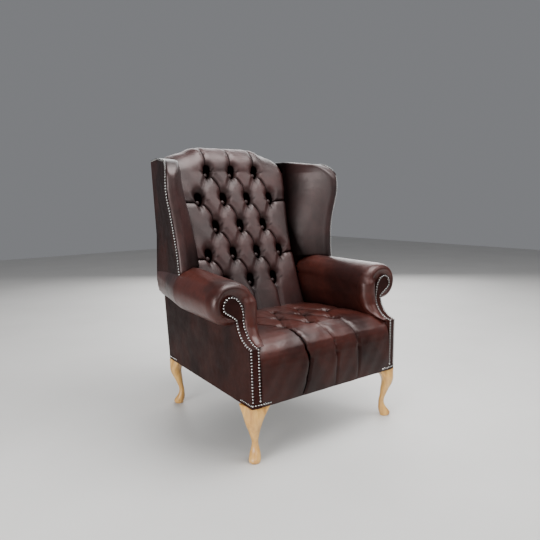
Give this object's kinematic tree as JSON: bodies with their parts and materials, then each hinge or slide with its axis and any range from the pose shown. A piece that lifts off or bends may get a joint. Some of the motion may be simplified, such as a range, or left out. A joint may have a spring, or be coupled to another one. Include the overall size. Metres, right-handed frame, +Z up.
{
  "type": "wing chair",
  "caption": "High-back wing chair with a deep-buttoned back and fixed seat, rolled arms, scrolled nail-trimmed facings and cabriole legs, in dark leather.",
  "frame": {"origin": "on the floor, under the centre of the chair's bounding box", "axes": "+Z up, -Y the way the chair faces, +X to the right as seen from in front of it"},
  "size_m": [0.8664, 0.7834, 1.0706],
  "materials": {
    "leather": "antique oxblood, semi-gloss",
    "leg_wood": "pale beech, satin lacquer",
    "frame_wood": "sawn beech, unfinished",
    "nail_metal": "bright nickel",
    "bolt_steel": "zinc plated",
    "foam": "upholstery foam",
    "webbing": "woven jute and elastic webbing",
    "bottom_cloth": "black bottoming cloth"
  },
  "bodies": {
    "root": {"arm_facing_left": "leather", "arm_facing_right": "leather", "arm_nail_strip_left": "nail_metal", "arm_nail_strip_right": "nail_metal", "arm_padding_left": "foam", "arm_padding_right": "foam", "arm_rail_left": "frame_wood", "arm_rail_right": "frame_wood", "arm_stuffing_rail_left": "frame_wood", "arm_stuffing_rail_right": "frame_wood", "back_buttons": "leather", "back_foam": "foam", "back_stile_left": "frame_wood", "back_stile_right": "frame_wood", "back_webbing": "webbing", "corner_blocks": "frame_wood", "crest_rail": "frame_wood", "dust_cover": "bottom_cloth", "front_post_left": "frame_wood", "front_post_right": "frame_wood", "front_seat_rail": "frame_wood", "inside_arm_cover_left": "leather", "inside_arm_cover_right": "leather", "inside_back_cover": "leather", "inside_wing_cover_left": "leather", "inside_wing_cover_right": "leather", "leg_bolts": "bolt_steel", "leg_front_left": "leg_wood", "leg_front_right": "leg_wood", "leg_nail_strips": "nail_metal", "leg_rear_left": "leg_wood", "leg_rear_right": "leg_wood", "lower_back_rail": "frame_wood", "outside_arm_left": "leather", "outside_arm_right": "leather", "outside_back": "leather", "outside_wing_left": "leather", "outside_wing_right": "leather", "rear_post_left": "frame_wood", "rear_post_right": "frame_wood", "rear_seat_rail": "frame_wood", "seat_buttons": "leather", "seat_cover": "leather", "seat_foam": "foam", "seat_webbing_cross": "webbing", "seat_webbing_long": "webbing", "side_seat_rail_left": "frame_wood", "side_seat_rail_right": "frame_wood", "wing_nail_strip_left": "nail_metal", "wing_nail_strip_right": "nail_metal", "wing_padding_left": "foam", "wing_padding_right": "foam", "wing_post_left": "frame_wood", "wing_post_right": "frame_wood", "wing_top_rail_left": "frame_wood", "wing_top_rail_right": "frame_wood"}
  },
  "joints": []
}
